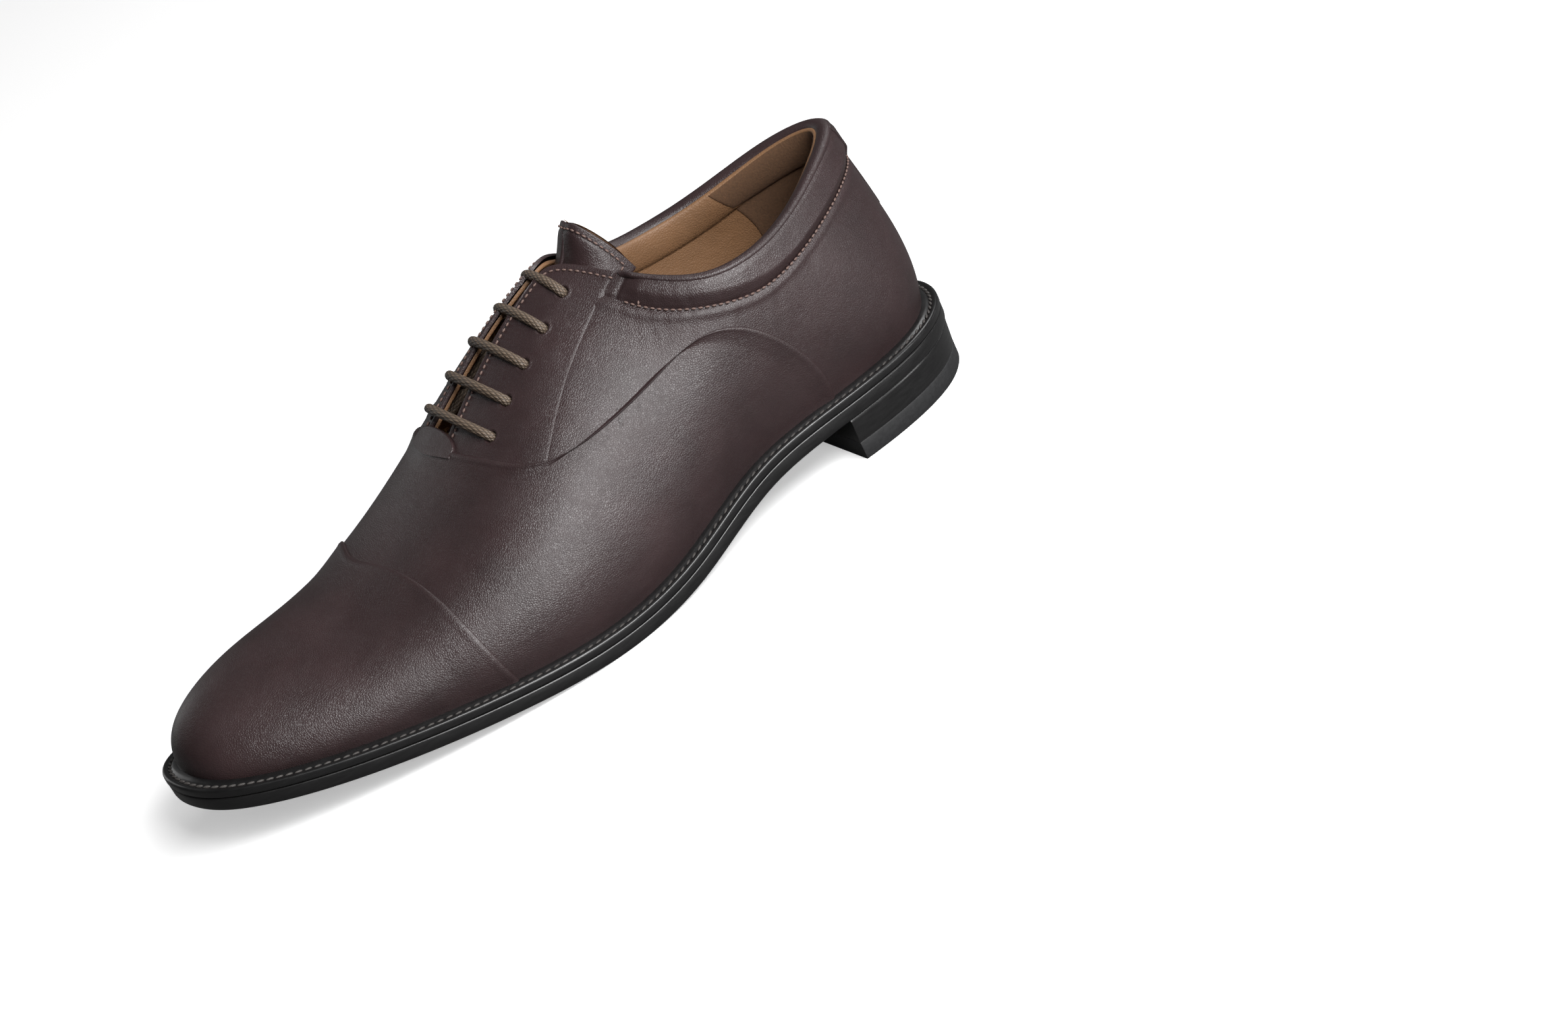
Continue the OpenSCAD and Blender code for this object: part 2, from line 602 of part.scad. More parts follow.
toe_cap();
vamp();
facing_lateral();
facing_medial();
quarter_lateral();
quarter_medial();
collar_lateral();
collar_medial();
collar_binding();
back_strip();
lacing_tab();
toe_puff();
heel_counter();
collar_foam_lateral();
collar_foam_medial();
vamp_lining();
quarter_lining_lateral();
quarter_lining_medial();
heel_grip();
tongue();
tongue_lining();
lace();
insole_board();
sock_liner();
shank();
cork_filler();
seat_filler();
welt();
outsole();
heel_stack();
top_piece();
heel_nails();
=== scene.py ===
import json
import math

import bmesh
import bpy
import numpy as np
from mathutils import Matrix, Vector


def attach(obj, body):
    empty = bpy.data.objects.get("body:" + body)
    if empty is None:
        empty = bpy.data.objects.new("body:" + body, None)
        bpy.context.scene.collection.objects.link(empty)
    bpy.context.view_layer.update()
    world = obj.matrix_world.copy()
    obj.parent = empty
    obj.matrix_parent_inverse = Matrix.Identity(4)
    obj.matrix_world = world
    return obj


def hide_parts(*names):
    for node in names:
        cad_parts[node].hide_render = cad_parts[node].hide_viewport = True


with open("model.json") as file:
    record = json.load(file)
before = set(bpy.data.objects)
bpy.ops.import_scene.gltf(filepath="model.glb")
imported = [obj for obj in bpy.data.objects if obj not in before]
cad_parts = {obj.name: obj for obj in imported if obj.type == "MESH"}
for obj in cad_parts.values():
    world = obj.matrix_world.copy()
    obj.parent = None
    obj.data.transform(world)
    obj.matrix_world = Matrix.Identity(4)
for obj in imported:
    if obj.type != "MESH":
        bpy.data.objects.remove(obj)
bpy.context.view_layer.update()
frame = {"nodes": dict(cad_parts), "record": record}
mm = 0.001

# the last: rails from the toe to the back, in millimetres
last = {
    "featherX": [296, 290, 264, 232, 199, 164, 129, 92, 54, 14, -3],
    "featherY": [0, 21, 34, 43, 48.5, 51, 43.5, 34, 37, 29.5, 0],
    "featherZ": [28, 25.5, 19.5, 14.5, 10.5, 7.5, 9.5, 22.5, 24, 24, 24],
    "waistIn": [0, 1, 2, 3, 3.5, 4, 6.5, 8, 5, 0, 0],
    "crestBack": [-0.5, 1, 7, 16, 24.5, 31, 34, 16, 0, -5, -2],
    "crestSide": [0, 0, 0, 0, 0, 0, 3, 29, 31.5, 20.5, 0],
    "ridgeIn": [-0.75, 1.5, 6.5, 11.5, 15.5, 13, 7, 0, 0, 0, 0],
    "crestHigh": [0, 17.5, 30.5, 30.5, 52, 87, 98, 81, 66.5, 66.5, 69],
    "wallOut": [0, 0, 4.5, 7, 11, 13.5, 12, 10, 8.5, 7.5, 5],
    "wallUp": [0, 8, 10, 22.5, 30, 32.5, 29.5, 27, 22.5, 22, 24.5],
    "crownX": [0, 0, 0, 0, 0, 0, 1, 1.5, 1.5, -0.5, -3],
    "crownY": [0, 11.5, 20, 24, 28, 30.5, 25.5, 12.5, 8.5, 4, 0],
    "crownZ": [0, 0, 0, 0, 0, -4, -20, -22.5, -18.5, -22, -22],
    "wallRake": 0.065,
    "toeSwing": 5.4,
}
upper = {
    "lapLift": 0.85,
    "capLapReach": 17,
    "vampLapReach": 9,
    "beadRise": 0.22,
    "beadAt": 1.1,
    "beadWide": 0.9,
    "grooveDepth": 0.3,
    "grooveReach": 0.75,
    "color": (0.028, 0.0155, 0.016),
    "roughness": 0.4,
}
liningLook = {
    "depth": 3.3, "facingDepth": 2.5, "color": (0.19, 0.098, 0.046), "suede": (0.1, 0.05, 0.024),
    "rollRise": 1.9, "rollAt": 5.5, "rollHalf": 6.5, "gripGap": 0.75,
}
soleLook = {"margin": 5.6, "weltThick": 3.0, "outsoleThick": 5.0, "topPieceThick": 6.5, "glueGap": 0.4}
stitchLook = {"pitch": 2.2, "length": 1.6, "radius": 0.36, "color": (0.15, 0.095, 0.08)}
# seam points (u from toe to back, w from the middle to the edge)
seams = {
    "vampEdge": [
        [0.4095, 0], [0.411, 0.05], [0.4145, 0.1], [0.4185, 0.16], [0.425, 0.23], [0.45, 0.39],
        [0.486, 0.492], [0.53, 0.518], [0.59, 0.502], [0.635, 0.47], [0.675, 0.445], [0.712, 0.46],
        [0.742, 0.52],
        [0.767, 0.64], [0.782, 0.78], [0.789, 0.91], [0.79, 1],
    ],
    "facingFoot": [[0.405, 0.1], [0.418, 0.25], [0.44, 0.41], [0.48, 0.515]],
    "quarterFoot": [
        [0.477, 0.52], [0.53, 0.55], [0.593, 0.535], [0.634, 0.505], [0.675, 0.48], [0.708, 0.495],
        [0.731, 0.55], [0.755, 0.66], [0.77, 0.78], [0.777, 0.9], [0.78, 1], [0.8, 1], [0.84, 1],
        [0.89, 1], [0.945, 1], [1, 1],
    ],
    "facingSeam": [
        [0.486, 0.48], [0.503, 0.42], [0.53, 0.335], [0.56, 0.275], [0.588, 0.218], [0.612, 0.171],
    ],
    "gapEdge": [[0.4185, 0.1], [0.438, 0.086], [0.46, 0.071], [0.5, 0.05], [0.525, 0.036], [0.546, 0.024]],
    "facingHead": [
        [0.546, 0.024], [0.556, 0.016], [0.567, 0.034], [0.586, 0.1], [0.599, 0.139], [0.612, 0.171],
    ],
    "collarSeam": [
        [0.594, 0.222], [0.61, 0.275], [0.638, 0.325], [0.675, 0.36], [0.715, 0.378], [0.755, 0.382],
        [0.79, 0.355], [0.83, 0.3], [0.87, 0.25], [0.91, 0.215], [0.955, 0.2], [1, 0.205],
    ],
    "topline": [
        [0.614, 0.175], [0.632, 0.207], [0.652, 0.233], [0.69, 0.262], [0.73, 0.253], [0.78, 0.203],
        [0.83, 0.132], [0.87, 0.07], [0.91, 0.028], [0.95, 0.014], [0.975, 0.012], [1, 0.012],
    ],
    "eyelets": [[0.451, 0.277], [0.475, 0.247], [0.501, 0.216], [0.529, 0.182], [0.559, 0.135]],
}

# the last's surface, in millimetres from the ground under the middle of the sole
railNames = [
    "featherX", "featherY", "featherZ", "waistIn", "crestBack", "crestSide", "ridgeIn", "crestHigh",
    "wallOut", "wallUp", "crownX", "crownY", "crownZ",
]
stations = np.array([last[k] for k in railNames], float).T
toeSigns = np.array([1, -1, 1, -1, 1, -1, 1, -1, 1, -1, 1, -1, -1.0])
backSigns = np.array([1, -1, 1, -1, 1, -1, 1, 1, 1, 1, 1, -1, 1.0])
rails = np.vstack([stations[1] * toeSigns, stations, stations[9] * backSigns])


def spline(c, t):
    c = np.asarray(c, float)
    n = len(c) - 3
    s = np.clip(t, 0, 1) * n
    i = np.minimum(np.floor(s).astype(int), n - 1)
    f = (s - i)[..., None]
    g = 1 - f
    return (g**3 * c[i] + (3 * f**3 - 6 * f**2 + 4) * c[i + 1] + (3 * g**3 - 6 * g**2 + 4) * c[i + 2]
            + f**3 * c[i + 3]) / 6


def held(c):
    c = np.asarray(c, float)
    return np.vstack([2 * c[0] - c[1], c, 2 * c[-1] - c[-2]])


def along(c, t):
    return spline(held(c), np.asarray(t, float))


def ease(t):
    c = np.clip(t, 0, 1)
    return c * c * (3 - 2 * c)


def unit(v):
    return v / np.maximum(np.linalg.norm(v, axis=-1, keepdims=True), 1e-9)


def swung(p):
    q = p.copy()
    q[..., 1] -= last["toeSwing"] * ease((p[..., 0] - 114) / 186)
    return q


def featherOut(u, side):
    d = spline(rails, np.minimum(u + 0.002, 1)) - spline(rails, np.maximum(u - 0.002, 0))
    dy = d[..., 1] - np.where(side < 0, d[..., 3], 0)
    return unit(np.stack([dy, -side * d[..., 0], 0 * dy], -1))


def rim(u, side, margin, rise):  # a line outside the feather edge
    q = spline(rails, u)
    y = q[..., 1] - np.where(side < 0, q[..., 3], 0)
    p = np.stack([q[..., 0], side * y, q[..., 2] + rise], -1)
    return p + np.asarray(margin)[..., None] * featherOut(u, side)


weltSpots = np.linspace(0, 1, 49)
ones = np.ones(len(weltSpots))
weltRing = np.vstack([
    swung(rim(weltSpots, ones, soleLook["margin"] * ones, 0)),
    swung(rim(weltSpots[1:-1], -ones[1:-1], soleLook["margin"] * ones[1:-1], 0)),
])
middle = (weltRing.max(0) + weltRing.min(0)) / 2
soleThick = soleLook["weltThick"] + soleLook["outsoleThick"] + soleLook["glueGap"]
middle[2] = spline(rails, np.linspace(0, 1, 101))[:, 2].min() - soleThick


def face(u, w):  # point of the upper: w is 1 at the outer edge, 0 on the ridge and -1 at the inner edge
    side = np.where(w < 0, -1.0, 1.0)
    v = (1 - abs(w))[..., None]
    g = 1 - v
    q = spline(rails, u)
    foot = np.stack([q[..., 0], side * (q[..., 1] - np.where(side < 0, q[..., 3], 0)), q[..., 2]], -1)
    rake = np.stack([-last["wallRake"] * q[..., 9], 0 * u, q[..., 9]], -1)
    wall = foot + q[..., 8:9] * featherOut(u, side) + rake
    crest = np.stack([q[..., 0] - q[..., 4], side * q[..., 5] - q[..., 6], q[..., 2] + q[..., 7]], -1)
    crown = crest + np.stack([q[..., 10], side * q[..., 11], q[..., 12]], -1)
    return swung(g**3 * foot + 3 * v * g * g * wall + 3 * v * v * g * crown + v**3 * crest) - middle


def outward(u, w):
    a = np.maximum(u, 0.012)  # the surface closes to a point at the toe
    step = 0.004
    du = face(np.minimum(a + step, 1), w) - face(a - step, w)
    dw = face(a, np.minimum(w + step, 1)) - face(a, np.maximum(w - step, -1))
    return unit(np.cross(dw, du))


def spotAt(p, depth=0.0):
    u, w = np.array([p[0]]), np.array([p[1]])
    return (face(u, w) - depth * outward(u, w))[0]


# materials
def shader(name):
    m = bpy.data.materials.new(name)
    m.use_nodes = True
    return m, m.node_tree, m.node_tree.nodes["Principled BSDF"]


def add(tree, kind, inputs=None, **settings):
    n = tree.nodes.new(kind)
    for key, value in settings.items():
        setattr(n, key, value)
    for key, value in (inputs or {}).items():
        if isinstance(value, bpy.types.NodeSocket):
            tree.links.new(value, n.inputs[key])
        else:
            n.inputs[key].default_value = value
    return n


def place(tree, scale=(1, 1, 1), kind="Object"):
    where = add(tree, "ShaderNodeTexCoord").outputs[kind]
    return add(tree, "ShaderNodeMapping", {"Vector": where, "Scale": scale}).outputs[0]


def blendColors(tree, factor, a, b):
    n = add(tree, "ShaderNodeMix", data_type="RGBA")
    tree.links.new(factor, n.inputs[0])
    n.inputs[6].default_value = (*a, 1)
    n.inputs[7].default_value = (*b, 1)
    return n.outputs[2]


def spread(tree, value, low, high, toLow, toHigh):
    return add(tree, "ShaderNodeMapRange", {
        "Value": value, "From Min": low, "From Max": high, "To Min": toLow, "To Max": toHigh
    }).outputs[0]


def reckon(tree, operation, *values):
    return add(tree, "ShaderNodeMath", dict(enumerate(values)), operation=operation).outputs[0]


def leatherMaterial(name, color, roughness, grain=0.3, pores=1500, crease=0.25, coat=0.1, tone=0.22):
    m, tree, bsdf = shader(name)
    where = place(tree)
    patches = add(tree, "ShaderNodeTexNoise", {"Vector": where, "Scale": 38, "Detail": 5, "Roughness": 0.6})
    darker = tuple(c * (1 - tone) for c in color)
    lighter = tuple(c * (1 + tone) for c in color)
    tint = blendColors(tree, spread(tree, patches.outputs[0], 0.3, 0.7, 0, 1), darker, lighter)
    cells = add(tree, "ShaderNodeTexVoronoi", {"Vector": where, "Scale": pores, "Randomness": 1.0},
                feature="DISTANCE_TO_EDGE")
    cellRise = spread(tree, cells.outputs["Distance"], 0.0, 0.25, 0, 1)
    fine = add(tree, "ShaderNodeTexNoise", {"Vector": where, "Scale": pores * 1.7, "Detail": 3})
    grainSum = reckon(tree, "ADD", cellRise, fine.outputs[0])
    waves = add(tree, "ShaderNodeTexNoise", {
        "Vector": place(tree, (70, 70, 110)), "Scale": 1.0, "Detail": 4, "Roughness": 0.55,
        "Distortion": 0.6,
    })
    bumpLow = add(tree, "ShaderNodeBump", {
        "Strength": crease, "Distance": 0.0012, "Height": waves.outputs[0]
    })
    bumpFine = add(tree, "ShaderNodeBump", {
        "Strength": grain, "Distance": 0.00025, "Height": grainSum, "Normal": bumpLow.outputs[0]
    })
    tree.links.new(tint, bsdf.inputs["Base Color"])
    tree.links.new(bumpFine.outputs[0], bsdf.inputs["Normal"])
    gloss = spread(tree, waves.outputs[0], 0.3, 0.7, roughness - 0.05, roughness + 0.07)
    tree.links.new(gloss, bsdf.inputs["Roughness"])
    bsdf.inputs["Coat Weight"].default_value = coat
    bsdf.inputs["Coat Roughness"].default_value = 0.28
    return m


def flatMaterial(name, color, roughness, scale=600, bump=0.2, stretch=(1, 1, 1), metallic=0.0, tone=0.2,
                 coat=0.0):
    m, tree, bsdf = shader(name)
    noise = add(tree, "ShaderNodeTexNoise", {
        "Vector": place(tree, tuple(scale * k for k in stretch)), "Scale": 1.0, "Detail": 5,
        "Roughness": 0.6,
    })
    darker = tuple(c * (1 - tone) for c in color)
    lighter = tuple(c * (1 + tone) for c in color)
    tint = blendColors(tree, spread(tree, noise.outputs[0], 0.3, 0.7, 0, 1), darker, lighter)
    tree.links.new(tint, bsdf.inputs["Base Color"])
    rise = add(tree, "ShaderNodeBump", {"Strength": bump, "Distance": 0.0004, "Height": noise.outputs[0]})
    tree.links.new(rise.outputs[0], bsdf.inputs["Normal"])
    gloss = spread(tree, noise.outputs[0], 0.3, 0.7, roughness - 0.06, roughness + 0.06)
    tree.links.new(gloss, bsdf.inputs["Roughness"])
    bsdf.inputs["Metallic"].default_value = metallic
    bsdf.inputs["Coat Weight"].default_value = coat
    return m


def cordMaterial(name, color, turns, strands):
    m, tree, bsdf = shader(name)
    uv = add(tree, "ShaderNodeTexCoord").outputs["UV"]
    parts = add(tree, "ShaderNodeSeparateXYZ", {0: uv})
    lengthwise = reckon(tree, "MULTIPLY", parts.outputs[0], turns * math.pi)
    around = reckon(tree, "MULTIPLY", parts.outputs[1], strands * math.pi)
    strandA = reckon(tree, "SINE", reckon(tree, "ADD", lengthwise, around))
    strandB = reckon(tree, "SINE", reckon(tree, "SUBTRACT", lengthwise, around))
    weaveHeightAndShade = reckon(tree, "ABSOLUTE", reckon(tree, "MULTIPLY", strandA, strandB))
    # painted shade and highlight: the braid's grooves are coloured darker and its strand crowns lighter,
    # following the weave's relief
    tint = blendColors(tree, weaveHeightAndShade, tuple(c * 0.45 for c in color), tuple(c * 1.15 for c in color))
    fuzz = add(tree, "ShaderNodeTexNoise", {"Vector": place(tree), "Scale": 2500, "Detail": 3})
    rise = add(tree, "ShaderNodeBump", {"Strength": 0.9, "Distance": 0.0003, "Height": weaveHeightAndShade})
    fineRise = add(tree, "ShaderNodeBump", {
        "Strength": 0.3, "Distance": 0.0002, "Height": fuzz.outputs[0], "Normal": rise.outputs[0]
    })
    tree.links.new(tint, bsdf.inputs["Base Color"])
    tree.links.new(fineRise.outputs[0], bsdf.inputs["Normal"])
    bsdf.inputs["Roughness"].default_value = 0.5
    return m


stripColor = tuple(c * 0.75 for c in upper["color"])
leather = leatherMaterial("upperLeather", upper["color"], upper["roughness"])
edgeLeather = leatherMaterial("rolledLeather", stripColor, 0.42, crease=0.1)
liningLeather = leatherMaterial("liningLeather", liningLook["color"], 0.55, pores=1100, coat=0.0, tone=0.16)
suedeLeather = flatMaterial("suede", liningLook["suede"], 0.9, scale=1400, bump=0.5)
threadMaterial = flatMaterial("thread", stitchLook["color"], 0.6, scale=3000, bump=0.4)
weltThread = flatMaterial("weltThread", (0.05, 0.045, 0.042), 0.6, scale=3000, bump=0.4)
soleMaterial = flatMaterial("soleEdge", (0.007, 0.0068, 0.007), 0.34, scale=160, bump=0.12,
                            stretch=(1, 1, 6), coat=0.15)
rubber = flatMaterial("heelRubber", (0.016, 0.016, 0.017), 0.62, scale=700, bump=0.25)
boardMaterial = flatMaterial("stiffener", (0.33, 0.24, 0.15), 0.9, scale=900, bump=0.4)
foamMaterial = flatMaterial("foam", (0.3, 0.28, 0.25), 0.95, scale=1500, bump=0.6)
corkMaterial = flatMaterial("cork", (0.3, 0.19, 0.1), 0.9, scale=300, bump=0.6, tone=0.5)
steelMaterial = flatMaterial("steel", (0.5, 0.5, 0.5), 0.35, scale=300, bump=0.05, stretch=(8, 1, 1),
                             metallic=1.0)
slotMaterials = {
    "upper_leather": leather, "lining_leather": liningLeather, "suede": suedeLeather,
    "stiffener": boardMaterial, "padding": foamMaterial, "insole": boardMaterial, "cork": corkMaterial,
    "shank_steel": steelMaterial, "sole_black": soleMaterial, "heel_rubber": rubber,
    "nail_steel": steelMaterial, "lace_cord": threadMaterial,
}
print("materials made")


# pieces
def keep(name, bm, material, stands=(), body="shoe"):
    mesh = bpy.data.meshes.new(name)
    for f in bm.faces:
        f.smooth = True
    bm.to_mesh(mesh)
    bm.free()
    piece = bpy.data.objects.new(name, mesh)
    bpy.context.scene.collection.objects.link(piece)
    mesh.materials.append(material)
    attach(piece, body)
    if stands:
        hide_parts(*stands)
    return piece


def gridInto(bm, points):  # a flat grid with its own UVs, bent onto a table of points
    rows, cols = points.shape[:2]
    bm.loops.layers.uv.verify()
    made = bmesh.ops.create_grid(bm, x_segments=rows - 1, y_segments=cols - 1, size=0.5, calc_uvs=True)
    for v in made["verts"]:
        v.co = points[round((v.co.x + 0.5) * (rows - 1)), round((v.co.y + 0.5) * (cols - 1))] * mm


def closedOut(bm):
    bmesh.ops.remove_doubles(bm, verts=bm.verts, dist=0.00001)
    bmesh.ops.recalc_face_normals(bm, faces=bm.faces)


def turnedTo(bm, p, normals):  # the faces at the middle of the grid look along its normals
    bm.normal_update()
    row, col = p.shape[0] // 2, p.shape[1] // 2
    target = Vector(p[row, col] * mm)
    near = min(bm.faces, key=lambda f: (f.calc_center_median() - target).length)
    if near.normal.dot(Vector(normals[row, col])) < 0:
        bmesh.ops.reverse_faces(bm, faces=bm.faces)


def gridNormals(p):
    a = np.gradient(p, axis=0)
    b = np.gradient(p, axis=1)
    return unit(np.cross(a, b))


# steps of a rolled edge: how far out, how far down
softRoll = ((0.22, 0.12), (0.38, 0.45), (0.4, 0.9), (0.3, 1.3))


def rolledEdge(points, normals, axis, atEnd, steps=softRoll):
    p = np.moveaxis(points, axis, 0)
    n = np.moveaxis(normals, axis, 0)
    if atEnd:
        p, n = p[::-1], n[::-1]
    out = unit(p[0] - p[1])
    more = [p[0] + out * o - n[0] * d for o, d in steps][::-1]
    p = np.concatenate([more, p])
    n = np.concatenate([[n[0]] * len(steps), n])
    if atEnd:
        p, n = p[::-1], n[::-1]
    return np.moveaxis(p, 0, axis), np.moveaxis(n, 0, axis)


def borderDistance(p, axis, fromEnd):  # millimetres to a border of the grid, along its rows or columns
    steps = np.linalg.norm(np.diff(p, axis=axis), axis=-1)
    total = np.cumsum(steps, axis=axis)
    shape = list(total.shape)
    shape[axis] = 1
    total = np.concatenate([np.zeros(shape), total], axis=axis)
    if fromEnd:
        total = np.take(total, [-1], axis=axis) - total
    return total


def panelGrid(at, n, m, height=None, rolls=(), inward=False):
    s, t = np.meshgrid(np.linspace(0, 1, n + 1), np.linspace(0, 1, m + 1), indexing="ij")
    u, w = at(s, t)
    p, out = face(u, w), outward(u, w)
    far = {
        "u": u, "w": w, "p": p,
        "s0": borderDistance(p, 0, False), "s1": borderDistance(p, 0, True),
        "t0": borderDistance(p, 1, False), "t1": borderDistance(p, 1, True),
    }
    if height:
        p = p + height(far)[..., None] * out
    back = -out if inward else out
    for edge in rolls:
        p, back = rolledEdge(p, back, 0 if edge[0] == "s" else 1, edge[1] == "1")
    return p, back


def panelPiece(name, at, n, m, material, stands, height=None, rolls=(), inward=False):
    p, back = panelGrid(at, n, m, height, rolls, inward)
    bm = bmesh.new()
    gridInto(bm, p)
    bmesh.ops.remove_doubles(bm, verts=bm.verts, dist=0.00001)
    turnedTo(bm, p, back)
    return keep(name, bm, material, stands)


def capSeam(w):  # u of the cap's back edge
    return 0.301 + 0.101 * np.sqrt(w * w + 0.015)


def lapped(distance, reach):  # a panel's edge raised over the panel under it
    bead = upper["beadRise"] * np.exp(-((distance - upper["beadAt"]) / upper["beadWide"]) ** 2)
    return upper["lapLift"] * ease(1 - distance / reach) + bead


def channel(distance, at, depth=0.22, wide=0.5):
    return -depth * np.exp(-((distance - at) / wide) ** 2)


def capAt(s, t):
    w = 1 - 2 * t
    return s * capSeam(w), w


panelPiece("toeCap", capAt, 120, 160, leather, ("toe_cap",),
           height=lambda f: lapped(f["s1"], upper["capLapReach"]), rolls=("s1",))

throat = np.vstack([[seams["vampEdge"][1][0], -seams["vampEdge"][1][1]], seams["vampEdge"],
                    2 * np.array(seams["vampEdge"][-1]) - np.array(seams["vampEdge"][-2])])


def vampAt(s, t):
    w = 2 * t - 1
    far = spline(throat, abs(w))
    nearU = capSeam(w) - 0.03  # starts a little under the cap
    return nearU * (1 - s) + far[..., 0] * s, w * (1 - s) + np.clip(far[..., 1], 0, 1) * np.sign(w) * s


panelPiece("vamp", vampAt, 150, 420, leather, ("vamp",),
           height=lambda f: lapped(f["s1"], upper["vampLapReach"]), rolls=("s1",))


def bow(side, t):  # how far a side leaves the straight line between its ends
    side = np.asarray(side, float)
    t = t[..., None]
    return along(side, t[..., 0]) - side[0] * (1 - t) - side[-1] * t


def fourSided(foot, head, left, right, side):  # a panel between two seams, with up to two bowed ends
    def at(s, t):
        p = along(foot, s) * (1 - t[..., None]) + along(head, s) * t[..., None]
        if left is not None:
            p = p + bow(left, t) * (1 - s[..., None])
        if right is not None:
            p = p + bow(right, t) * s[..., None]
        return p[..., 0], side * p[..., 1]
    return at


eyeletLook = {"depth": 2.3, "radius": 1.8, "rimRise": 0.22, "rimAt": 2.35, "rimWide": 0.55}


def eyeletShape(p, side):
    h = 0
    for e in seams["eyelets"]:
        d = np.linalg.norm(p - spotAt((e[0], side * e[1])), axis=-1)
        h = (h - eyeletLook["depth"] * np.exp(-(d / eyeletLook["radius"]) ** 6)
             + eyeletLook["rimRise"] * np.exp(-((d - eyeletLook["rimAt"]) / eyeletLook["rimWide"]) ** 2))
    return h


creaseWaves = np.random.default_rng(7).uniform(0, 1, (14, 4))


def pucker(f, amount):  # soft irregular creases that run up and down the side
    a, b = f["u"] * 295, f["w"] * 90
    h = 0 * a
    for k in creaseWaves:
        h = h + np.sin(a * (0.25 + 1.1 * k[0]) + b * (k[1] - 0.3) * 0.7 + 6.28 * k[2]) * (0.3 + 0.7 * k[3])
    return amount * h / 3


def fading(f):  # no creases towards the back
    return ease((0.9 - f["u"]) / 0.12)


def sunk(f):  # the front end lies lower, under the facing
    return -0.22 * np.exp(-(f["s0"] / 3) ** 2)


quarterLook = {
    "crush": 0.1, "crushReach": 9, "puff": 0.35, "puffAt": 2.6, "puffWide": 1.5, "seamDepth": 0.25,
}
quarterLeft = [[0.477, 0.52], [0.48, 0.475], [0.497, 0.415], [0.524, 0.33], [0.554, 0.27], [0.588, 0.208]]


def quarterHeight(f):
    look = quarterLook
    crush = look["crush"] * np.exp(-f["t1"] / look["crushReach"]) * ease(f["s0"] / 14) * fading(f)
    puff = look["puff"] * np.exp(-((f["t1"] - look["puffAt"]) / look["puffWide"]) ** 2)
    return sunk(f) + channel(f["t1"], 0, look["seamDepth"], 0.8) + pucker(f, 1) * crush + puff


collarPad = {
    "swell": 1.9, "riseOver": 5.5, "lead": 0.4, "topDrop": 0.3, "topDropOver": 4,
    "pucker": 0.1, "puckerReach": 8, "endSeam": 5.5, "endSeamDepth": 0.3, "seamDepth": 0.4, "fill": 0.7,
}


def padHeight(low, high):  # rise of the pad, low and high are distances from its foot and the topline
    look = collarPad
    topDrop = look["topDrop"] * ease(1 - high / look["topDropOver"])
    return look["swell"] * ease((low + look["lead"]) / look["riseOver"]) * (1 - topDrop)


def collarHeight(f):
    look = collarPad
    full = ease((f["s0"] - 4.5) / 8)
    crush = np.exp(-f["t0"] / look["puckerReach"]) * ease(f["t0"] / 2) * ease((f["s0"] - 5) / 8) * fading(f)
    endSeam = channel(f["s0"], look["endSeam"], look["endSeamDepth"], 0.8)
    footSeam = channel(f["t0"], 0, look["seamDepth"], 0.9)
    creases = pucker(f, look["pucker"]) * crush
    return padHeight(f["t0"], f["t1"]) * full + creases + endSeam + footSeam + sunk(f)


facingLook = {"stitchAt": 2.0, "stitchDepth": 0.2, "footRise": 0.12, "footWide": 1.2}


def facingHeight(side):
    look = facingLook

    def height(f):
        groove = upper["grooveDepth"] * np.exp(-(f["s1"] / upper["grooveReach"]) ** 2)
        stitching = sum(channel(f[k], look["stitchAt"], look["stitchDepth"]) for k in ("s0", "t1"))
        foot = look["footRise"] * np.exp(-(f["s0"] / look["footWide"]) ** 2)
        return eyeletShape(f["p"], side) - groove + stitching + foot
    return height


# the quarter and the collar run on a little under the facing
collarFoot = [[0.588, 0.208]] + seams["collarSeam"][1:]
collarHead = [[0.608, 0.163]] + seams["topline"][1:]
liningHead = ([[0.402, 0.1], [0.437, 0.094], [0.46, 0.08], [0.5, 0.058], [0.525, 0.045], [0.546, 0.034],
               [0.558, 0.034], [0.57, 0.058], [0.59, 0.13]] + seams["topline"])


def liningRoll(distance):  # the padded roll below the topline, seen from inside
    return np.sqrt(np.clip(1 - ((distance - liningLook["rollAt"]) / liningLook["rollHalf"]) ** 2, 0, 1))


def liningHeight(f):
    thicker = liningLook["depth"] - liningLook["facingDepth"]
    d = liningLook["facingDepth"] + thicker * ease((f["u"] - 0.55) / 0.08)
    roll = liningRoll(f["t1"]) * ease((f["u"] - 0.6) / 0.04)
    return -d - 0.5 * ease(f["t0"] / 40) - liningLook["rollRise"] * roll


for label, sideName, side in (("Lateral", "lateral", 1), ("Medial", "medial", -1)):
    facingEdges = (seams[k] for k in ("facingFoot", "facingHead", "gapEdge", "facingSeam"))
    facingAt = fourSided(*facingEdges, side)
    panelPiece("facing" + label, facingAt, 110, 170, leather, ("facing_" + sideName,),
               height=facingHeight(side), rolls=("s0", "s1", "t1"))
    panelPiece("quarter" + label, fourSided(seams["quarterFoot"], collarFoot, quarterLeft, None, side),
               260, 110, leather, ("quarter_" + sideName,), height=quarterHeight)
    pad = panelPiece("collar" + label, fourSided(collarFoot, collarHead, None, None, side),
                     300, 60, leather, ("collar_" + sideName,), height=collarHeight)
    panelPiece("quarterLining" + label,
               fourSided([[0.39, 1], [0.6, 1], [0.8, 1], [1, 1]], liningHead, None, None, side),
               160, 130, liningLeather, ("quarter_lining_" + sideName,),
               height=liningHeight, rolls=("t1",), inward=True)
print("upper made")


